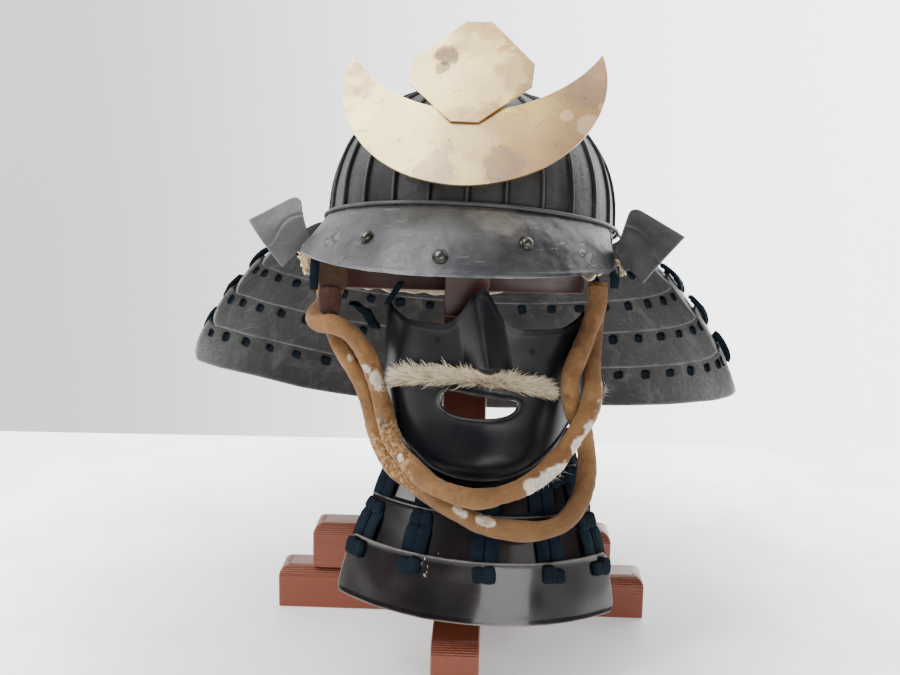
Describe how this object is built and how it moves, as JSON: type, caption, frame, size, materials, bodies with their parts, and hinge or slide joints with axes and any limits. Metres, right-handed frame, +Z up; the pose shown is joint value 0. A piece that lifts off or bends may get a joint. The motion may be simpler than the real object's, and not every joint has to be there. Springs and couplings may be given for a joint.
{
  "type": "samurai helmet with face mask and wooden stand",
  "caption": "Ribbed samurai helmet with brow plate, flared neck guard, moon crest, moustached face mask, throat guard and padded chin cords, tied together on a plain wooden stand.",
  "frame": {"origin": "on the table under the centre of the stand's crossing", "axes": "+Z up, -Y the way the helmet faces, +X the viewer's right"},
  "size_m": [0.3931, 0.335, 0.4321],
  "materials": {
    "iron": "dark aged iron with a dull grey sheen and rubbed ridges",
    "brow_iron": "greyer iron, satin, its free edge worn and flaked",
    "brass": "pale gold, polished, with purple-brown tarnish in patches",
    "lacquer": "black lacquer over iron, glossy, worn brown at the edges and flaked",
    "ochre_cord": "padded ochre cloth cord, faded, frayed and torn open in places",
    "lacing": "flat dark blue-green silk braid, matte",
    "bristle": "cream bristle, coarse and dry",
    "lining": "faded beige cloth with a frayed edge",
    "stained_wood": "red-brown stained hardwood, satin varnish, edges rounded"
  },
  "bodies": {
    "root": {"brow_plate": "brow_iron", "lining_band": "lining", "moustache": "bristle", "chin_cord_inner": "ochre_cord", "chin_cord_outer": "ochre_cord", "tie_left": "lacing", "tie_right": "lacing", "bowl_plate_01": "iron", "bowl_plate_02": "iron", "bowl_plate_03": "iron", "bowl_plate_04": "iron", "bowl_plate_05": "iron", "bowl_plate_06": "iron", "bowl_plate_07": "iron", "bowl_plate_08": "iron", "bowl_plate_09": "iron", "bowl_plate_10": "iron", "bowl_plate_11": "iron", "bowl_plate_12": "iron", "bowl_plate_13": "iron", "bowl_crown_ring": "iron", "bowl_base_band": "iron", "brow_rivet_left": "iron", "brow_rivet_middle": "iron", "brow_rivet_right": "iron", "neck_lame_1": "iron", "neck_lame_2": "iron", "neck_lame_3": "iron", "neck_lame_4": "iron", "neck_lame_5": "iron", "wing_left": "iron", "wing_right": "iron", "crest_crescent": "brass", "crest_diamond": "brass", "crest_bracket": "brass", "mask_shell": "lacquer", "throat_lame_1": "lacquer", "throat_lame_2": "lacquer", "throat_lame_3": "lacquer", "stand_lower_board": "stained_wood", "stand_upper_block": "stained_wood", "stand_front_foot": "stained_wood", "stand_back_foot": "stained_wood", "stand_post": "stained_wood", "stand_crossbar": "stained_wood", "stand_front_arm": "stained_wood", "stand_back_arm": "stained_wood", "stand_head_post": "stained_wood"}
  },
  "joints": []
}
